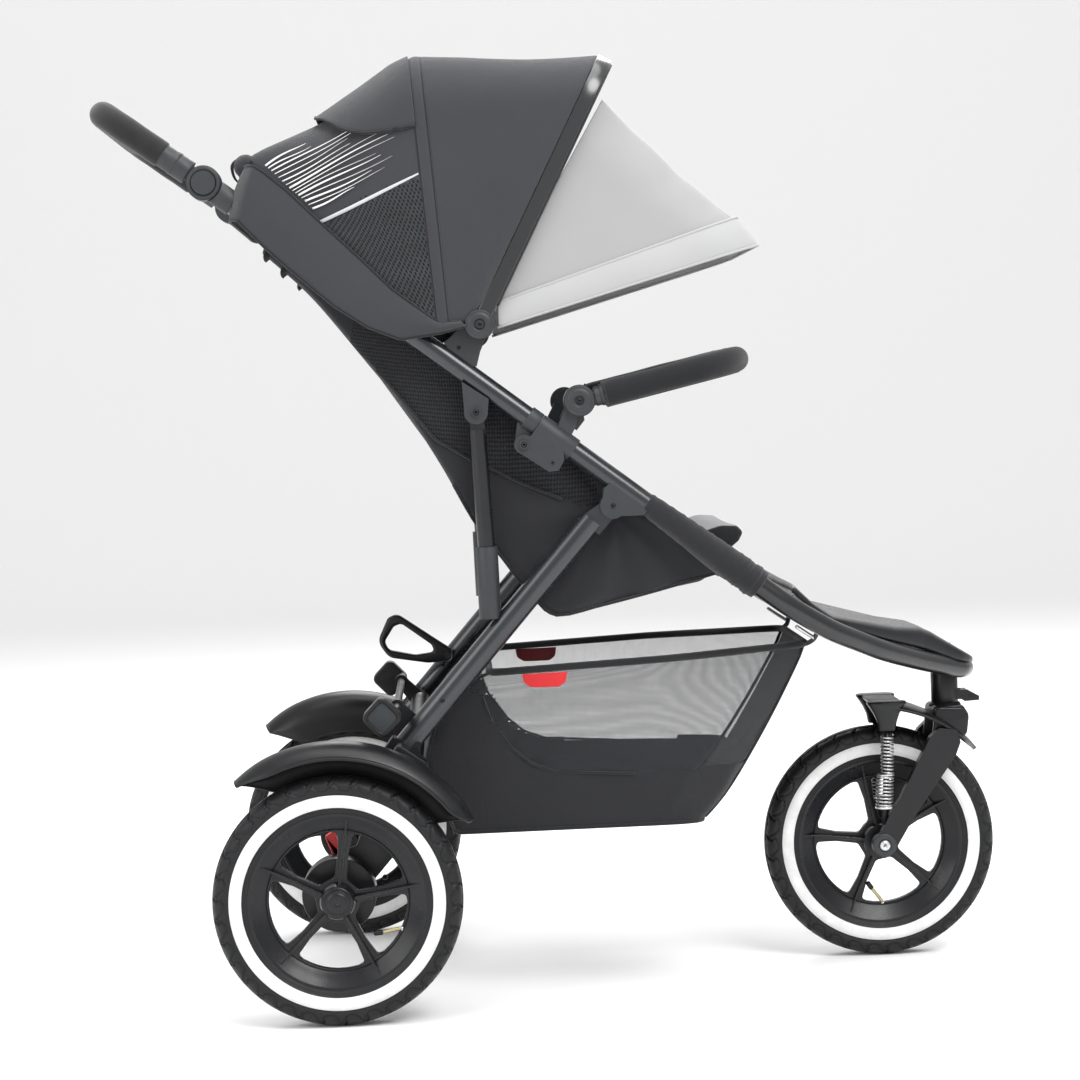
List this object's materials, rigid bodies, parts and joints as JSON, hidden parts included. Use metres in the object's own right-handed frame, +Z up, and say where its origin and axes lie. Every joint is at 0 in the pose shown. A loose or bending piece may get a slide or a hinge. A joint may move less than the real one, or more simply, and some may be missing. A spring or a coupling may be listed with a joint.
{
  "type": "baby stroller",
  "caption": "Folding three-wheeled baby stroller with a swivelling sprung front wheel, reclined hammock seat, hood, bumper bar and basket.",
  "frame": {"origin": "on the ground, under the middle of the bounding box", "axes": "+X is the way it rolls forwards, +Y is its left side, +Z is up"},
  "size_m": [1.1126, 0.627, 1.176],
  "materials": {
    "frame_paint": "satin graphite paint",
    "casting": "fine matte grey plastic",
    "black_plastic": "matte black plastic",
    "footplate": "textured black plastic",
    "foam": "closed-cell foam",
    "fabric": "woven polyester",
    "mesh_fabric": "open polyester mesh",
    "visor_fabric": "thin translucent fabric",
    "webbing": "woven strap",
    "tyre": "treaded rubber with a pale side band",
    "rim": "moulded dark plastic",
    "cap": "grey plastic",
    "steel": "zinc-plated",
    "spring": "black coil",
    "red": "red plastic",
    "bow": "smooth dark band",
    "visor_bow": "pale grey band"
  },
  "bodies": {
    "lower_frame": {"frame_tube_left": "frame_paint", "frame_tube_right": "frame_paint", "front_hoop": "frame_paint", "head_tube": "black_plastic", "footplate": "footplate", "fold_sleeves": "casting", "leg_brackets": "casting", "bumper_brackets": "casting", "seat_base": "fabric", "seat_pad": "fabric", "seat_front": "fabric", "lap_straps": "webbing", "harness_buckle": "black_plastic", "basket": "mesh_fabric"},
    "buckle_button": {"buckle_button": "red"},
    "upper_frame": {"upper_tube_left": "frame_paint", "upper_tube_right": "frame_paint", "fold_ears": "casting", "strut_plates": "casting", "hood_clips": "casting", "handle_hubs": "casting", "seat_back": "fabric", "hood_rear": "fabric"},
    "handle": {"handle_bar": "frame_paint", "handle_grip": "foam", "hub_covers": "casting"},
    "hub_button_left": {"hub_button_left": "casting"},
    "hub_button_right": {"hub_button_right": "casting"},
    "backrest": {"back_pad": "fabric", "shoulder_straps": "webbing"},
    "rear_frame": {"rear_legs": "frame_paint", "cross_tube": "black_plastic", "axle_carriers": "black_plastic", "fenders": "black_plastic", "brake_drums": "black_plastic"},
    "rear_wheel_left": {"rear_tyre_left": "tyre", "rear_rim_left": "rim"},
    "rear_wheel_right": {"rear_tyre_right": "tyre", "rear_rim_right": "rim"},
    "struts": {"struts": "frame_paint", "strut_sleeves": "casting"},
    "fork": {"fork_crown": "black_plastic", "front_fender": "black_plastic"},
    "fork_arm": {"fork_blades": "black_plastic", "front_axle": "steel", "fork_springs": "spring"},
    "front_wheel": {"front_tyre": "tyre", "front_rim": "rim"},
    "swivel_lever": {"swivel_lever": "black_plastic"},
    "hood_mid": {"mid_bow": "bow"},
    "hood_front": {"front_bow": "bow", "hood_front": "fabric"},
    "visor": {"visor_bow": "visor_bow", "visor_panel": "visor_fabric"},
    "bumper": {"bumper_bar": "frame_paint", "bumper_grip": "foam"},
    "brake_pedal": {"brake_pedal": "black_plastic"},
    "brake_levers": {"brake_levers": "red"},
    "fold_loop": {"fold_loop": "black_plastic"}
  },
  "joints": [
    {"name": "frame_fold", "type": "hinge", "parent": "lower_frame", "child": "upper_frame", "pos_m": [-0.045, 0, 0.685], "axis": [0, -1, 0], "range_deg": [0, 130], "deforming": ["seat_base", "seat_pad", "seat_front", "lap_straps", "basket", "seat_back", "hood_rear", "back_pad", "shoulder_straps", "hood_front", "visor_panel"]},
    {"name": "rear_fold", "type": "hinge", "parent": "lower_frame", "child": "rear_frame", "pos_m": [0.061, 0, 0.607], "axis": [0, -1, 0], "range_deg": [0, 61]},
    {"name": "strut_turn", "type": "hinge", "parent": "upper_frame", "child": "struts", "pos_m": [-0.102, 0, 0.726], "axis": [0, -1, 0], "range_deg": [-102, 0]},
    {"name": "handle_angle", "type": "hinge", "parent": "upper_frame", "child": "handle", "pos_m": [-0.42, 0, 1.013], "axis": [0, -1, 0], "range_deg": [-45, 60]},
    {"name": "hub_button_left_press", "type": "slide", "parent": "handle", "child": "hub_button_left", "axis": [0, -1, 0], "range_m": [0, 0.004], "stiffness_N_per_m": 1200, "springref_m": -0.002},
    {"name": "hub_button_right_press", "type": "slide", "parent": "handle", "child": "hub_button_right", "axis": [0, 1, 0], "range_m": [0, 0.004], "stiffness_N_per_m": 1200, "springref_m": -0.002},
    {"name": "backrest_recline", "type": "hinge", "parent": "upper_frame", "child": "backrest", "pos_m": [-0.075, 0, 0.572], "axis": [0, 1, 0], "range_deg": [0, 22], "deforming": ["shoulder_straps", "back_pad", "seat_back"]},
    {"name": "rear_left_spin", "type": "hinge", "parent": "rear_frame", "child": "rear_wheel_left", "pos_m": [-0.288, 0.28, 0.15], "axis": [0, 1, 0], "continuous": true},
    {"name": "rear_right_spin", "type": "hinge", "parent": "rear_frame", "child": "rear_wheel_right", "pos_m": [-0.288, -0.28, 0.15], "axis": [0, 1, 0], "continuous": true},
    {"name": "fork_swivel", "type": "hinge", "parent": "lower_frame", "child": "fork", "pos_m": [0.499, 0, 0.35], "axis": [0, 0, 1], "continuous": true},
    {"name": "front_suspension", "type": "hinge", "parent": "fork", "child": "fork_arm", "pos_m": [0.49, 0, 0.284], "axis": [0, 1, 0], "range_deg": [0, 8], "stiffness_Nm_per_rad": 120, "springref_deg": -5.73, "deforming": ["fork_springs"]},
    {"name": "front_wheel_spin", "type": "hinge", "parent": "fork_arm", "child": "front_wheel", "pos_m": [0.407, 0, 0.15], "axis": [0, 1, 0], "continuous": true},
    {"name": "swivel_lock", "type": "hinge", "parent": "lower_frame", "child": "swivel_lever", "pos_m": [0.524, 0, 0.337], "axis": [0, -1, 0], "range_deg": [0, 25]},
    {"name": "hood_rear_fold", "type": "hinge", "parent": "upper_frame", "child": "hood_mid", "pos_m": [-0.094, 0, 0.832], "axis": [0, -1, 0], "range_deg": [0, 25], "deforming": ["hood_rear", "hood_front", "visor_panel"]},
    {"name": "hood_front_fold", "type": "hinge", "parent": "hood_mid", "child": "hood_front", "pos_m": [-0.094, 0, 0.832], "axis": [0, -1, 0], "range_deg": [0, 36], "deforming": ["hood_front", "visor_panel"]},
    {"name": "visor_fold", "type": "hinge", "parent": "hood_front", "child": "visor", "pos_m": [-0.094, 0, 0.832], "axis": [0, -1, 0], "range_deg": [0, 43], "deforming": ["visor_panel"]},
    {"name": "bumper_turn", "type": "hinge", "parent": "lower_frame", "child": "bumper", "pos_m": [0.024, 0, 0.736], "axis": [0, -1, 0], "range_deg": [-45, 20]},
    {"name": "brake_press", "type": "hinge", "parent": "rear_frame", "child": "brake_pedal", "pos_m": [-0.212, 0, 0.365], "axis": [0, -1, 0], "range_deg": [0, 12]},
    {"name": "brake_lever_turn", "type": "hinge", "parent": "rear_frame", "child": "brake_levers", "pos_m": [-0.288, 0, 0.188], "axis": [0, -1, 0], "range_deg": [0, 30]},
    {"name": "fold_loop_pull", "type": "hinge", "parent": "rear_frame", "child": "fold_loop", "pos_m": [-0.148, 0, 0.396], "axis": [0, 1, 0], "range_deg": [0, 20], "stiffness_Nm_per_rad": 0.6, "springref_deg": -11.46},
    {"name": "buckle_press", "type": "slide", "parent": "lower_frame", "child": "buckle_button", "axis": [0, 0, -1], "range_m": [0, 0.0008], "stiffness_N_per_m": 900, "springref_m": -0.002}
  ],
  "couplings": [
    {"joint": "rear_fold", "follows": "frame_fold", "ratio": 0.4675},
    {"joint": "strut_turn", "follows": "frame_fold", "ratio": -0.78},
    {"joint": "brake_lever_turn", "follows": "brake_press", "ratio": 2.5}
  ]
}
